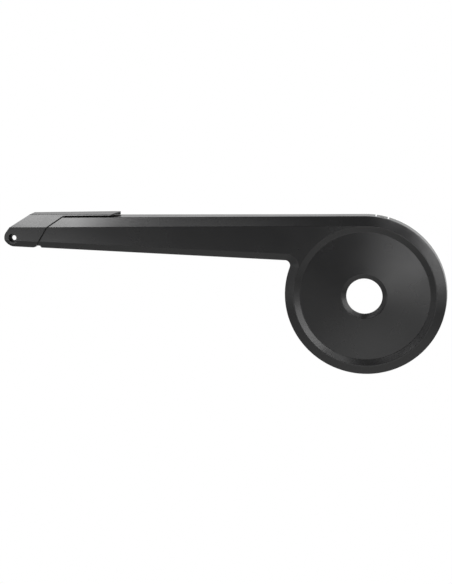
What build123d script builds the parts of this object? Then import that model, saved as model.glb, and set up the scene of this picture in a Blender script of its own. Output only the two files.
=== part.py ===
from build123d import *
import os
from math import atan, atan2, cos, degrees, radians, sin, sqrt, tan

# Bicycle chain guard: a moulded shell of disc and arm, and an end piece that slides on the arm's rear end.
# Millimetres. X runs forward along the arm, Y back towards the bicycle's frame, Z up.
# The origin is on the crank axis, at the mouth of the crank opening. Depths run back from the front face.

# Walls and running gaps
wall = 2.2
slide_clearance = 0.3
strip_gap = 2.0
seam_gap = 2.0

# Disc: opening, sloped lip, shallow cone, step up to the crest, bevel and rim
opening_radius = 20.7
lip_radius = 26.0
lip_depth = 4.5
cone_top_depth = 1.6
cone_foot_depth = 4.0
step_width = 6.4
crest_width = 0.9
edge_radius = 92.4
rim_depth = 20.0
collar_length = 2.0

# Bevel along the outline, and the draft of the walls behind it
bevel_width = 10.4
bevel_depth = 4.5
lower_bevel_width = 8.0
draft_angle = 4.0

# Rounded edges of the moulding
ridge_round = 1.2
edge_round = 1.0
crest_round = 0.8
foot_round = 1.5

# Arm: its height at the crank axis, its two edges, which rise towards the rear, and the depth of its walls
arm_height = 55.3
upper_edge_angle = 0.17
lower_edge_angle = 2.8
corner_radius = 6.0
lower_wall_depth = 10.0
chain_exit_reach = 10.0
arm_root = 60.0
deepest_depth = 25.5
rear_depth = 18.0

# Seam between arm and end piece: its foot on the lower edge, its slants on front face and bevel, its notch
seam_reach = 400.3
seam_angle = 56.2
seam_bevel_angle = 33.1
notch_height = 3.75
notch_angle = 60.0
seam_corner_radius = 7.5

# End piece: from the seam's foot back to the screw hole in its round end, and forward to the roof strip's end
end_length = 29.7
end_radius = 11.05
end_drop = 0.35
hole_radius = 3.0
head_radius = 5.5
head_depth = 4.5
seat_thickness = 1.5
end_rise_angle = 50.0
end_rise_length = 7.9
end_slope_angle = 31.0
strip_length = 95.8
strip_wall = 1.5
strip_draft_angle = 7.0
strip_taper_angle = 0.28
strip_skew_angle = 17.0
flange_wall = 2.0

# Tongue of the arm inside the end piece
tongue_length = 22.0
tongue_root = 8.0

# Snap tab in the rim
tab_angle = 77.7
tab_width = 12.3
tab_length = 11.0
slit_width = 1.8
window_width = 4.0
window_length = 3.0

# Values worked out from the sizes above
rise = radians(upper_edge_angle)
slope = radians(lower_edge_angle)
seam_slant = radians(seam_angle)
draft = tan(radians(draft_angle))
strip_draft = tan(radians(strip_draft_angle))
bevel_turn = atan(bevel_depth / bevel_width)
lower_bevel_turn = atan(bevel_depth / lower_bevel_width)
ridge_radius = edge_radius - bevel_width
crest_radius = ridge_radius - crest_width
cone_foot_radius = crest_radius - step_width
end_wall = wall - slide_clearance
down = Vector(-sin(slope), -cos(slope))
rearward = Vector(-cos(slope), sin(slope))
seam_up = Vector(cos(seam_slant), sin(seam_slant))
lower_edge_offset = (arm_height - edge_radius) * cos(slope)
hole_reach = seam_reach + end_length
strip_end = seam_reach - strip_length
rear_end = hole_reach + end_radius
over_all = 2 * edge_radius
beyond = 20.0
same_level = 0.01


def plane_at(depth):
    return Plane.XZ.offset(lip_depth - depth)


def upper_edge_at(x, inset=0.0):
    return (edge_radius - inset - x * sin(rise)) / cos(rise)


def lower_edge_at(x, inset=0.0):
    return (inset - lower_edge_offset - x * sin(slope)) / cos(slope)


def drafted(depth):
    return (depth - bevel_depth) * draft


# Outline of disc and arm, drawn in by an inset, with its own inset along the arm's lower edge
def guard_outline(depth, inset, lower_inset, lift):
    radius = edge_radius - inset
    top = Vector(radius * sin(lift), radius * cos(lift))
    corner = corner_radius + lower_inset
    below = lower_edge_offset - lower_inset + corner
    centre = down * below + rearward * sqrt((radius + corner) ** 2 - below ** 2)
    on_disc = centre * (radius / (radius + corner))
    on_edge = centre - down * corner
    middle = centre - (centre.normalized() + down).normalized() * corner
    turn = degrees(atan2(on_disc.Y, on_disc.X))
    rear = -rear_end - beyond
    start = 90 - degrees(lift)
    rear_top = top + Vector(-1, tan(lift)) * (top.X - rear)
    with BuildSketch(plane_at(depth)) as outline:
        with BuildLine():
            Line(rear_top, top)
            CenterArc((0, 0), radius, start, -180)
            CenterArc((0, 0), radius, start + 180, turn - start - 180)
            ThreePointArc(on_disc, middle, on_edge)
            Polyline(on_edge, (rear, lower_edge_at(rear, lower_inset)), rear_top)
        make_face()
    return outline.sketch


# Round the outer edge of the bevel, then the ridge between bevel and front face
def round_front_edges(body):
    for depth, radius in ((bevel_depth, edge_round), (0, ridge_round)):
        level = depth - lip_depth
        around = body.edges().filter_by_position(Axis.Y, level - same_level, level + same_level)
        fillet(around, radius)


# Solid of disc and arm, drawn in by a skin on every face
def guard_body(skin):
    edge_depth = bevel_depth + skin * (1 - sin(bevel_turn)) / cos(bevel_turn)
    back = deepest_depth + skin
    ridge_inset = bevel_width + skin * tan(bevel_turn / 2)
    lower_ridge_inset = lower_bevel_width + skin * tan(lower_bevel_turn / 2)
    with BuildPart() as body:
        add(guard_outline(skin, ridge_inset, lower_ridge_inset, 0))
        for depth in (edge_depth, back):
            inset = skin - drafted(depth)
            add(guard_outline(depth, inset, inset, rise))
        loft(ruled=True)
        if skin == 0:
            round_front_edges(body)
    return body.part


# Space in front of the disc's step, cone and lip, grown by a skin
def dish_space(skin):
    front = -lip_depth
    with BuildSketch(Plane.XY) as profile:
        with BuildLine():
            Polyline(
                (0, front - beyond),
                (crest_radius, front - beyond),
                (crest_radius, front),
                (cone_foot_radius, front + cone_foot_depth),
                (lip_radius, front + cone_top_depth),
                (opening_radius, 0),
                (0, 0),
                close=True,
            )
        make_face()
        if skin > 0:
            offset(amount=skin, kind=Kind.INTERSECTION)
        else:
            fillet(profile.vertices().filter_by_position(Axis.X, lip_radius, cone_foot_radius), foot_round)
        with Locations((edge_radius, 0)):
            Rectangle(2 * edge_radius, 8 * beyond, mode=Mode.INTERSECT)
    with BuildPart() as space:
        add(profile.sketch)
        revolve(axis=Axis.Y)
    return space.part


# Everything behind the roof's rear edge, seen from above, or behind a line ahead of that edge
def space_behind(ahead=0.0):
    shift = -lip_depth - ahead
    far = shift + 3 * deepest_depth
    with BuildPart() as space:
        with BuildSketch(Plane.XY):
            with BuildLine():
                Polyline(
                    (over_all, shift + rim_depth),
                    (-arm_root, shift + rim_depth),
                    (-strip_end, shift + deepest_depth),
                    (-rear_end, shift + rear_depth),
                    (-rear_end - 2 * beyond, shift + rear_depth),
                    (-rear_end - 2 * beyond, far),
                    (over_all, far),
                    close=True,
                )
            make_face()
        extrude(amount=over_all, both=True)
    return space.part


# Foot of the seam line on the arm's lower edge, moved along the arm, or on a line above that edge
def seam_foot(shift, inset=0.0):
    foot = Vector(shift - seam_reach, lower_edge_at(-seam_reach))
    return foot + seam_up * ((inset - shift * sin(slope)) / sin(seam_slant + slope))


# Seam's kink at the ridge, half of its gap, the strip's underside and the bevel's steepness there
seam_kink = (ridge_radius - lower_edge_at(-seam_reach)) / tan(seam_slant) - seam_reach
half_seam = seam_gap / 2 / sin(radians((seam_angle + seam_bevel_angle) / 2))
strip_height = upper_edge_at(seam_kink, -strip_gap)
bevel_steep = (upper_edge_at(seam_kink) - ridge_radius) / bevel_depth
hole_height = lower_edge_at(-hole_reach, end_radius - end_drop)


# Seam line seen from the front, moved along the arm: below its foot, its kink at the ridge and its top
def seam_line(shift, top):
    low = seam_foot(shift) - seam_up * beyond
    head = seam_kink + (top - ridge_radius) / tan(radians(seam_bevel_angle))
    return [(low.X, low.Y), (seam_kink + shift, ridge_radius), (head + shift, top)]


# Everything behind the arm's seam, and the notch in the arm's lower corner
def space_rear_of_seam():
    line = seam_line(half_seam, strip_height)
    corner = seam_foot(half_seam, notch_height)
    cut = Vector(cos(radians(notch_angle)), -sin(radians(notch_angle)))
    far = -rear_end - 2 * beyond
    with BuildPart() as space:
        with BuildSketch(plane_at(-beyond)):
            with BuildLine():
                Polyline(*line, (line[2][0], over_all), (far, over_all), (far, line[0][1]), close=True)
            make_face()
            with BuildLine():
                Polyline(
                    corner - cut * seam_gap,
                    corner + cut * beyond,
                    corner - Vector(beyond, beyond),
                    close=True,
                )
            make_face()
        extrude(amount=-over_all)
    return space.part


# Tongue: the next layer inside the arm's walls, carried on past the seam into the end piece
def tongue_body():
    front_line = seam_line(half_seam + tongue_root, over_all)
    rear_line = seam_line(-half_seam - tongue_length, over_all)
    with BuildPart() as tongue:
        add(guard_body(wall))
        add(guard_body(2 * wall), mode=Mode.SUBTRACT)
        with BuildSketch(plane_at(-beyond)):
            with BuildLine():
                Polyline(*front_line, *reversed(rear_line), close=True)
            make_face()
        extrude(amount=-over_all, mode=Mode.INTERSECT)
    return tongue.part


# Everything behind the low walls: the arm's lower wall, and the rim where the chain's lower run leaves
def space_behind_lower_wall():
    rear = -hole_reach + end_radius
    clear = 3 * wall
    with BuildPart() as space:
        with BuildSketch(plane_at(lower_wall_depth)):
            with BuildLine():
                Polyline(
                    (rear, lower_edge_at(rear, clear)),
                    (-edge_radius, lower_edge_at(-edge_radius, clear)),
                    (-chain_exit_reach, 0),
                    (-chain_exit_reach, -over_all),
                    (rear, -over_all),
                    close=True,
                )
            make_face()
        extrude(amount=-over_all)
    return space.part


guard_cavity = guard_body(wall) - dish_space(wall)

# Disc and arm in one moulding
with BuildPart() as main_guard:
    add(guard_body(0))
    add(dish_space(0), mode=Mode.SUBTRACT)
    fillet(main_guard.edges(Select.LAST).group_by(Axis.Y)[0], crest_round)
    add(guard_cavity, mode=Mode.SUBTRACT)
    add(space_rear_of_seam(), mode=Mode.SUBTRACT)
    add(tongue_body())
    # Collar behind the lip of the crank opening
    with BuildSketch(plane_at(lip_depth)):
        Circle(opening_radius + wall)
    extrude(amount=-collar_length)
    with BuildSketch(plane_at(-beyond)):
        Circle(opening_radius)
    extrude(amount=-over_all, mode=Mode.SUBTRACT)
    add(space_behind(), mode=Mode.SUBTRACT)
    add(space_behind_lower_wall(), mode=Mode.SUBTRACT)
    # Two slits set the snap tab free, and a window takes its catch
    half_turn = degrees((tab_width + slit_width) / 2 / edge_radius)
    with BuildSketch(plane_at(rim_depth - tab_length)):
        with PolarLocations(edge_radius, 2, tab_angle - half_turn, 2 * half_turn, endpoint=True):
            Rectangle(6 * wall, slit_width)
    extrude(amount=-beyond, mode=Mode.SUBTRACT)
    across = radians(tab_angle)
    tab_place = Vector(cos(across), 0, sin(across))
    window_depth = rim_depth - tab_length + window_length / 2 - lip_depth
    window_origin = tab_place * edge_radius + Vector(0, window_depth, 0)
    with BuildSketch(Plane(window_origin, x_dir=(0, 1, 0), z_dir=tab_place)):
        Rectangle(window_length, window_width)
    extrude(amount=3 * wall, both=True, mode=Mode.SUBTRACT)


# Section of the end piece between two lines, each given by its height at a place along the arm
def end_section(depth, upper_line, lower_line):
    rear = -rear_end - beyond
    front = depth * tan(radians(strip_skew_angle)) - strip_end
    with BuildSketch(plane_at(depth)) as section:
        with BuildLine():
            Polyline(
                (rear, upper_line(rear)),
                (front, upper_line(front)),
                (front, lower_line(front)),
                (rear, lower_line(rear)),
                close=True,
            )
        make_face()
    return section.sketch


# Upper half of the end piece: front face, bevel and a roof above the arm's, tapered forward of the seam
def end_upper(skin, roof_gap, roof_draft, taper_angle):
    taper = tan(radians(taper_angle))
    back = deepest_depth + skin
    ridge = ridge_radius - skin * tan(bevel_turn / 2)
    roof_depth = skin + (upper_edge_at(seam_kink, -roof_gap) - ridge) / bevel_steep
    with BuildPart() as upper:
        add(end_section(skin, lambda x: ridge, lambda x: 0))
        for depth in (roof_depth, back):
            gap = roof_gap + (depth - roof_depth) * roof_draft
            add(end_section(depth, lambda x: upper_edge_at(x, -gap) - (x - seam_kink) * taper, lambda x: 0))
        loft(ruled=True)
    return upper.part


# Lower half of the end piece: front face, lower bevel and lower wall
def end_lower(skin):
    back = deepest_depth + skin
    edge_depth = bevel_depth + skin * (1 - sin(lower_bevel_turn)) / cos(lower_bevel_turn)
    ridge_inset = lower_bevel_width + skin * tan(lower_bevel_turn / 2) - end_drop
    edge_inset = skin - drafted(edge_depth) - end_drop
    back_inset = skin - drafted(back) - end_drop
    with BuildPart() as lower:
        for depth, inset in ((skin, ridge_inset), (edge_depth, edge_inset), (back, back_inset)):
            add(end_section(depth, lambda x: over_all, lambda x: lower_edge_at(x, inset)))
        loft(ruled=True)
    return lower.part


def runs_along(edge):
    return abs(edge.tangent_at(0.5).X) > cos(2 * slope)


# Outside of the end piece before its rear end is shaped, with rounded roof edge, lower edge and ridges
def end_outside():
    with BuildPart() as body:
        add(end_upper(0, strip_gap + strip_wall, strip_draft, strip_taper_angle))
        add(end_lower(0), mode=Mode.INTERSECT)
        ridges, lower_edge, roof_edge, back = body.edges().filter_by(runs_along).group_by(Axis.Y)
        fillet(lower_edge + roof_edge, edge_round)
        fillet(body.edges().filter_by(runs_along).group_by(Axis.Y)[0], ridge_round)
    return body.part


# Front view of the end piece, grown by an amount: round end about the screw hole, then two slanted edges
def end_front_view(depth, grow):
    centre = Vector(-hole_reach, hole_height)
    upright = radians(end_rise_angle)
    lean = radians(end_slope_angle)
    rise_out = Vector(-sin(upright), cos(upright))
    lean_out = Vector(-sin(lean), cos(lean))
    kink = centre + rise_out * end_radius + Vector(cos(upright), sin(upright)) * end_rise_length
    kink += (rise_out + lean_out) * (grow / (1 + rise_out.dot(lean_out)))
    top = kink + Vector(1 / tan(lean), 1) * (over_all - kink.Y)
    leaves = centre + rise_out * (end_radius + grow)
    foot = centre + down * (end_radius + grow)
    front = beyond - strip_end
    front_foot = (front, lower_edge_at(front, -grow - end_drop))
    with BuildSketch(plane_at(depth)) as view:
        with BuildLine():
            Line(front_foot, foot)
            ThreePointArc(foot, centre + rearward * (end_radius + grow), leaves)
            Polyline(leaves, kink, top, (over_all, top.Y), front_foot)
        make_face()
    return view.sketch


# Column behind that view, drawn in by a skin, with the draft of the walls
def end_column(skin):
    back = deepest_depth + skin
    with BuildPart() as column:
        add(end_front_view(-beyond, -skin))
        add(end_front_view(bevel_depth, -skin))
        add(end_front_view(back, drafted(back) - skin))
        loft(ruled=True)
    return column.part


# Everything forward of the end piece's seam, below its roof strip
def space_under_strip():
    front = beyond - strip_end
    turn_depth = bevel_depth + strip_gap / bevel_steep
    back = 2 * deepest_depth
    low, kink, head = seam_line(-half_seam, strip_height)
    with BuildPart() as space:
        for depth, gap in (
            (-beyond, strip_gap),
            (turn_depth, strip_gap),
            (back, strip_gap + (back - turn_depth) * draft),
        ):
            under_head = (head[0], upper_edge_at(head[0], -gap))
            under_front = (front, upper_edge_at(front, -gap))
            with BuildSketch(plane_at(depth)):
                with BuildLine():
                    Polyline(low, kink, under_head, under_front, (front, low[1]), close=True)
                make_face()
        loft(ruled=True)
    return space.part


# Flange along the back of the end piece's roof, down to just above the arm's roof or lower by a drop
def back_flange(drop):
    with BuildPart() as flange:
        for depth in (bevel_depth, deepest_depth):
            foot = drafted(depth) + slide_clearance - drop
            head = drafted(depth) + strip_gap + strip_wall / 2
            upper = lambda x: upper_edge_at(x, -head)
            lower = lambda x: upper_edge_at(x, -foot)
            add(end_section(depth, upper, lower))
        loft(ruled=True)
        add(space_behind(flange_wall), mode=Mode.INTERSECT)
        add(end_column(0), mode=Mode.INTERSECT)
    return flange.part


# Outside of the rounded corner at the foot of the end piece's seam
def seam_corner_space():
    corner = seam_foot(-half_seam, -end_drop)
    inward = (seam_up + rearward).normalized()
    half_turn = radians(seam_up.get_angle(rearward) / 2)
    reach = seam_corner_radius / tan(half_turn)
    on_seam = corner + seam_up * reach
    on_edge = corner + rearward * reach
    outward = inward * -seam_corner_radius
    with BuildPart() as space:
        with BuildSketch(plane_at(-beyond)):
            with BuildLine():
                Polyline(on_seam, on_seam + outward, on_edge + outward, on_edge, close=True)
            make_face()
            with Locations(corner + inward * (seam_corner_radius / sin(half_turn))):
                Circle(seam_corner_radius, mode=Mode.SUBTRACT)
        extrude(amount=-over_all)
    return space.part


end_cavity = end_upper(end_wall, strip_gap, draft, 0) & end_lower(end_wall) & end_column(end_wall)

with BuildPart() as rear_end_piece:
    add(end_outside())
    add(end_column(0), mode=Mode.INTERSECT)
    add(end_cavity, mode=Mode.SUBTRACT)
    # Cup that the screw's head sits in
    with BuildSketch(plane_at(end_wall / 2)):
        with Locations((-hole_reach, hole_height)):
            Circle(head_radius + end_wall)
    extrude(amount=end_wall / 2 - head_depth - seat_thickness)
    # Behind the seam the flange comes down to the arm's tongue, ahead of it to the arm's roof
    add(back_flange(wall))
    add(space_under_strip(), mode=Mode.SUBTRACT)
    add(back_flange(0))
    add(seam_corner_space(), mode=Mode.SUBTRACT)
    add(space_behind(), mode=Mode.SUBTRACT)
    add(space_behind_lower_wall(), mode=Mode.SUBTRACT)
    with Locations(Plane((-hole_reach, -lip_depth, hole_height), z_dir=(0, -1, 0))):
        CounterBoreHole(hole_radius, head_radius, head_depth)

os.makedirs("parts", exist_ok=True)
main_guard.part.label = "main_guard"
export_step(main_guard.part, "parts/main_guard.step")
rear_end_piece.part.label = "rear_end_piece"
export_step(rear_end_piece.part, "parts/rear_end_piece.step")
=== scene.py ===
from math import cos, radians, sin
import bpy
from mathutils import Matrix, Vector


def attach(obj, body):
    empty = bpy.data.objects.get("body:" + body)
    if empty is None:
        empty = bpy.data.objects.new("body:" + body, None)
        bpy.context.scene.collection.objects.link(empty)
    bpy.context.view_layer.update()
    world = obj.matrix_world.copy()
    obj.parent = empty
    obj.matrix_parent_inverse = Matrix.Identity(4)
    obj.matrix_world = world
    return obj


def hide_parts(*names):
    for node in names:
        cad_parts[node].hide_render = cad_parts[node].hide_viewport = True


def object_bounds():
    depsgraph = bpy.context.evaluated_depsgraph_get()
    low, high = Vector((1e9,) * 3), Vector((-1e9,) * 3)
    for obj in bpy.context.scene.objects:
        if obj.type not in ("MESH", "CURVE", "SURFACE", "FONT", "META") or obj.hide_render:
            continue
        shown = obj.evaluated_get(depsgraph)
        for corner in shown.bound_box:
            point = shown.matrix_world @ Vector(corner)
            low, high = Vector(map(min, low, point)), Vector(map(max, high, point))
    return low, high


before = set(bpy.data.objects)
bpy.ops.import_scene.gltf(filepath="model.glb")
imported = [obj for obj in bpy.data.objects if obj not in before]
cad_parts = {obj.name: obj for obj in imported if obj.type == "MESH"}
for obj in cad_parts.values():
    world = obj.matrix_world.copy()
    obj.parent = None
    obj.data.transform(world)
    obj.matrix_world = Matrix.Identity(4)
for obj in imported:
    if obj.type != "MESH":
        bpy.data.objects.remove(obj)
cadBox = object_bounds()
print("frame loaded:", sorted(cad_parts))


# sRGB hex to linear
def hexColour(text):
    steps = [int(text[i:i + 2], 16) / 255 for i in (1, 3, 5)]
    return [s / 12.92 if s <= 0.04045 else ((s + 0.055) / 1.055) ** 2.4 for s in steps] + [1.0]


# one node with its settings, and links given as {socket: (node, output)}
def addNode(tree, kind, values=None, links=None, **settings):
    node = tree.nodes.new(kind)
    for name, value in settings.items():
        setattr(node, name, value)
    for socket, value in (values or {}).items():
        node.inputs[socket].default_value = value
    for socket, (source, output) in (links or {}).items():
        tree.links.new(source.outputs[output], node.inputs[socket])
    return node


def emptyTree(owner):
    owner.use_nodes = True
    owner.node_tree.nodes.clear()
    return owner.node_tree


def selectOnly(piece):
    bpy.ops.object.select_all(action="DESELECT")
    piece.select_set(True)
    bpy.context.view_layer.objects.active = piece


# a direction seen from the guard: degrees to the right of straight out of its front, and degrees up
def towards(right, up):
    turn, rise = radians(right), radians(up)
    return Vector((sin(turn) * cos(rise), -cos(turn) * cos(rise), sin(rise)))


blackPlastic = {
    "colour": "#101011",
    "roughness": 0.26,
    "roughnessSpread": 0.03,  # slightly uneven gloss
    "ior": 1.53,  # ABS
    "patchMm": 45.0,  # size of the uneven patches
    "patchDetail": 3.0,
    "patchRange": (0.3, 0.7),  # most of the noise lies between these
    "grainMm": 0.9,  # spark-eroded grain, drawn about ten times too coarse so that it shows
    "grainHeightMm": 0.002,
    "grainDetail": 2.0,
}


# ABS, injection moulded in a fine spark-eroded tool: deep black, satin, with soft wide highlights
def mouldedAbs(values):
    material = bpy.data.materials.new("blackAbsMoulded")
    tree = emptyTree(material)
    place = addNode(tree, "ShaderNodeTexCoord")
    patches = addNode(tree, "ShaderNodeTexNoise",
                      {"Scale": 1000 / values["patchMm"], "Detail": values["patchDetail"]},
                      {"Vector": (place, "Object")})
    gloss = addNode(tree, "ShaderNodeMapRange", {
        "From Min": values["patchRange"][0], "From Max": values["patchRange"][1],
        "To Min": values["roughness"] - values["roughnessSpread"],
        "To Max": values["roughness"] + values["roughnessSpread"],
    }, {"Value": (patches, "Fac")})
    grain = addNode(tree, "ShaderNodeTexNoise",
                    {"Scale": 1000 / values["grainMm"], "Detail": values["grainDetail"]},
                    {"Vector": (place, "Object")})
    bump = addNode(tree, "ShaderNodeBump", {"Strength": 1.0, "Distance": values["grainHeightMm"] / 1000},
                   {"Height": (grain, "Fac")})
    shader = addNode(tree, "ShaderNodeBsdfPrincipled",
                     {"Base Color": hexColour(values["colour"]), "IOR": values["ior"]},
                     {"Roughness": (gloss, "Result"), "Normal": (bump, "Normal")})
    addNode(tree, "ShaderNodeOutputMaterial", links={"Surface": (shader, "BSDF")})
    return material


plasticFinish = mouldedAbs(blackPlastic)
print("plastic ready")

mouldings = {
    "main_guard": {"name": "guardShell", "body": "guard"},
    "rear_end_piece": {"name": "endShell", "body": "end_piece"},
}
mergeDistance = 1e-6  # metres
smoothAngle = 20.0  # degrees


# a merged copy of the solid, with smooth faces where the moulding is rounded
def finishMoulding(node, values):
    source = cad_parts[node]
    piece = bpy.data.objects.new(values["name"], source.data.copy())
    bpy.context.scene.collection.objects.link(piece)
    selectOnly(piece)
    bpy.ops.mesh.customdata_custom_splitnormals_clear()
    bpy.ops.object.mode_set(mode="EDIT")
    bpy.ops.mesh.select_all(action="SELECT")
    bpy.ops.mesh.remove_doubles(threshold=mergeDistance)
    bpy.ops.object.mode_set(mode="OBJECT")
    bpy.ops.object.shade_smooth_by_angle(angle=radians(smoothAngle))
    level = piece.modifiers.new("flatFacesStayFlat", "WEIGHTED_NORMAL")
    level.mode = "FACE_AREA"
    level.weight = 100  # large faces decide
    level.keep_sharp = True
    bpy.ops.object.modifier_apply(modifier=level.name)
    piece.data.materials.clear()
    piece.data.materials.append(plasticFinish)
    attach(piece, values["body"])
    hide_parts(node)


for node, values in mouldings.items():
    finishMoulding(node, values)
print("mouldings finished")

# millimetres
seamWeb = {
    "rear": -369.4,
    "foot": 92.82,
    "front": 15.7,
    "wide": 3.68,
    "deep": 1.8,
    "high": 2.28,
    "lean": 3.49,  # forward, from foot to head
    "edge": 0.1,
    "edgeSegments": 2,
}
headNormal = 0.9  # a face that points up more than this is the head


# web of the end piece's flange at the seam's head, where the backdrop would show through
def addSeamWeb(values):
    size = Vector((values["wide"], values["deep"], values["high"])) / 1000
    corner = Vector((values["rear"], values["front"], values["foot"])) / 1000
    bpy.ops.object.select_all(action="DESELECT")
    bpy.ops.mesh.primitive_cube_add(size=1, location=corner + size / 2, scale=size)
    web = bpy.context.object
    web.name = "seamWeb"
    bpy.ops.object.transform_apply(location=True, rotation=True, scale=True)
    bpy.ops.object.mode_set(mode="EDIT")
    bpy.ops.mesh.select_mode(type="FACE")
    bpy.ops.mesh.select_all(action="DESELECT")
    bpy.ops.object.mode_set(mode="OBJECT")
    for face in web.data.polygons:
        face.select = face.normal.z > headNormal
    bpy.ops.object.mode_set(mode="EDIT")
    bpy.ops.transform.translate(value=(values["lean"] / 1000, 0, 0))
    bpy.ops.object.mode_set(mode="OBJECT")
    edges = web.modifiers.new("softEdges", "BEVEL")
    edges.width = values["edge"] / 1000
    edges.segments = values["edgeSegments"]
    bpy.ops.object.modifier_apply(modifier=edges.name)
    web.data.materials.append(plasticFinish)
    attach(web, "end_piece")


addSeamWeb(seamWeb)
print("web added")

floorPaper = {
    "below": 0.6,  # metres under the guard, which hangs on a bicycle
    "width": 12.0,
    "colour": "#e9e9e8",
    "whiteFrom": 0.25,  # metres from the crank axis where the paper starts to run out to white
    "whiteAt": 0.9,
    "shadowShare": 0.35,  # how much of the paper's own shade is kept near the guard
}
room = {
    "front": 0.16,  # strength of the dim room in front of the guard
    "back": 0.75,  # and of the backdrop behind it
    "fadeFrom": -0.2,  # along Y, from the one to the other
    "fadeTo": 0.5,
}


# 0 in front of the guard, 1 behind it
def behindGuard(tree, place, output):
    parts = addNode(tree, "ShaderNodeSeparateXYZ", links={0: (place, output)})
    return addNode(tree, "ShaderNodeMapRange", {"From Min": room["fadeFrom"], "From Max": room["fadeTo"]},
                   {"Value": (parts, "Y")}, interpolation_type="SMOOTHSTEP")


# 1 for the camera, and for reflections of what lies behind the guard
def backgroundRays(tree, behind):
    ray = addNode(tree, "ShaderNodeLightPath")
    mirrored = addNode(tree, "ShaderNodeMath", operation="MAXIMUM",
                       links={0: (ray, "Is Glossy Ray"), 1: (ray, "Is Transmission Ray")})
    backdrop = addNode(tree, "ShaderNodeMath", operation="MULTIPLY",
                       links={0: (mirrored, "Value"), 1: (behind, "Result")})
    return addNode(tree, "ShaderNodeMath", operation="MAXIMUM",
                   links={0: (backdrop, "Value"), 1: (ray, "Is Camera Ray")})


# pale paper floor: it keeps a faint shadow and runs out to white
def layFloor(values):
    bpy.ops.mesh.primitive_plane_add(size=values["width"], location=(0, 0, cadBox[0][2] - values["below"]))
    floor = bpy.context.object
    floor.name = "paperFloor"
    bpy.ops.object.transform_apply(location=True, rotation=True, scale=True)
    material = bpy.data.materials.new("palePaper")
    tree = emptyTree(material)
    place = addNode(tree, "ShaderNodeTexCoord")
    reach = addNode(tree, "ShaderNodeVectorMath", links={0: (place, "Object")}, operation="LENGTH")
    share = addNode(tree, "ShaderNodeMapRange", {
        "From Min": values["whiteFrom"], "From Max": values["whiteAt"],
        "To Min": 1 - values["shadowShare"], "To Max": 1.0,
    }, {"Value": (reach, "Value")}, interpolation_type="SMOOTHSTEP")
    rays = backgroundRays(tree, behindGuard(tree, place, "Object"))
    seen = addNode(tree, "ShaderNodeMath", operation="MULTIPLY",
                   links={0: (share, "Result"), 1: (rays, "Value")})
    paper = addNode(tree, "ShaderNodeBsdfDiffuse", {"Color": hexColour(values["colour"])})
    white = addNode(tree, "ShaderNodeEmission", {"Strength": 1.0})
    both = addNode(tree, "ShaderNodeMixShader",
                   links={0: (seen, "Value"), 1: (paper, "BSDF"), 2: (white, "Emission")})
    addNode(tree, "ShaderNodeOutputMaterial", links={"Surface": (both, "Shader")})
    floor.data.materials.append(material)


layFloor(floorPaper)
print("floor laid")


# dim room in front of the guard and a backdrop behind it, plain white to the camera and in reflections
def lightRoom(values):
    world = bpy.data.worlds.new("studioRoom")
    bpy.context.scene.world = world
    tree = emptyTree(world)
    place = addNode(tree, "ShaderNodeTexCoord")
    behind = behindGuard(tree, place, "Generated")
    level = addNode(tree, "ShaderNodeMapRange", {"To Min": values["front"], "To Max": values["back"]},
                    {"Value": (behind, "Result")})
    rays = backgroundRays(tree, behind)
    strength = addNode(tree, "ShaderNodeMath", operation="MAXIMUM",
                       links={0: (level, "Result"), 1: (rays, "Value")})
    light = addNode(tree, "ShaderNodeBackground", {"Color": hexColour("#ffffff")},
                    {"Strength": (strength, "Value")})
    addNode(tree, "ShaderNodeOutputWorld", links={"Surface": (light, "Background")})


lightRoom(room)
print("room lit")

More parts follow.
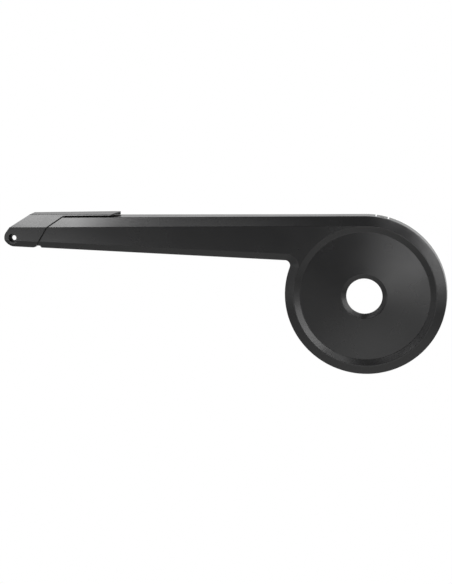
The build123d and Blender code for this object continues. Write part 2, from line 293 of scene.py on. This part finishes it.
# metres, degrees and watts; each softbox stands off from the place it is aimed at
aims = {"rear": (-0.37, 0.0, 0.085), "disc": (0.0, 0.0, 0.0), "arm": (-0.15, 0.0, 0.03)}
softboxes = {
    "rearKey": {"aim": "rear", "right": -36, "up": 38, "far": 0.4, "wide": 0.2, "high": 0.2, "watts": 0.85},
    "rearTop": {"aim": "rear", "right": -36, "up": 46, "far": 0.6, "wide": 0.3, "high": 0.3, "watts": 1.1},
    "frontFill": {"aim": "disc", "right": 10, "up": 0, "far": 1.2, "wide": 0.4, "high": 0.4, "watts": 1.5},
    "lowFill": {"aim": "disc", "right": 0, "up": -30, "far": 0.8, "wide": 0.4, "high": 0.3, "watts": 0.32},
    "rightEdge": {"aim": "disc", "right": 58, "up": 0, "far": 1.0, "wide": 0.55, "high": 0.55, "watts": 0.6},
    "topRight": {"aim": "disc", "right": 26, "up": 50, "far": 1.0, "wide": 0.55, "high": 0.55, "watts": 0.3},
    "leftEdge": {"aim": "disc", "right": -56, "up": 0, "far": 0.9, "wide": 0.4, "high": 0.4, "watts": 0.22},
    "leftLow": {"aim": "arm", "right": -18, "up": -12, "far": 1.6, "wide": 0.5, "high": 0.4, "watts": 0.22},
    "leftFill": {"aim": "arm", "right": -36, "up": -12, "far": 1.6, "wide": 0.5, "high": 0.4, "watts": 1.0},
    "overLeft": {"aim": "arm", "right": -18, "up": 33, "far": 1.6, "wide": 0.5, "high": 0.4, "watts": 0.95},
    "rightLow": {"aim": "arm", "right": 54, "up": 3, "far": 1.6, "wide": 0.5, "high": 0.4, "watts": 1.4},
    "rightMiddle": {"aim": "arm", "right": 54, "up": 18, "far": 1.6, "wide": 0.5, "high": 0.4, "watts": 2.45},
    "rightHigh": {"aim": "arm", "right": 54, "up": 33, "far": 1.6, "wide": 0.5, "high": 0.4, "watts": 4.6},
    "overRight": {"aim": "arm", "right": 36, "up": 48, "far": 1.6, "wide": 0.5, "high": 0.4, "watts": 1.85},
}


def hangSoftbox(name, values):
    aim = Vector(aims[values["aim"]])
    spot = aim + towards(values["right"], values["up"]) * values["far"]
    bpy.ops.object.light_add(type="AREA", location=spot)
    lamp = bpy.context.object
    lamp.name = name
    lamp.data.shape = "RECTANGLE"
    lamp.data.size = values["wide"]
    lamp.data.size_y = values["high"]
    lamp.data.energy = values["watts"]
    lamp.rotation_euler = (aim - spot).to_track_quat("-Z", "Y").to_euler()


for name, values in softboxes.items():
    hangSoftbox(name, values)
print("lamps hung")

cameraPlace = {
    "spot": (0.0653, -1.02923, 0.18917),  # metres
    "yaw": 12.5,  # towards the guard's rear
    "pitch": 10.0,  # down
    "roll": -1.583,
    "focalPx": 900.0,
    "longSidePx": 584.0,
    "sensorMm": 36.0,
}


def setCamera(values):
    yaw, pitch, roll = (radians(values[k]) for k in ("yaw", "pitch", "roll"))
    forward = Vector((-sin(yaw) * cos(pitch), cos(yaw) * cos(pitch), -sin(pitch)))
    level = forward.cross(Vector((0, 0, 1))).normalized()
    upright = level.cross(forward)
    right = level * cos(roll) + upright * sin(roll)
    up = upright * cos(roll) - level * sin(roll)
    bpy.ops.object.camera_add()
    camera = bpy.context.object
    turn = Matrix((right, up, -forward)).transposed()
    camera.matrix_world = Matrix.Translation(values["spot"]) @ turn.to_4x4()
    camera.data.sensor_width = values["sensorMm"]
    camera.data.lens = values["focalPx"] / values["longSidePx"] * values["sensorMm"]
    bpy.context.scene.camera = camera


setCamera(cameraPlace)
bpy.context.scene.view_settings.view_transform = "Standard"
print("camera set")
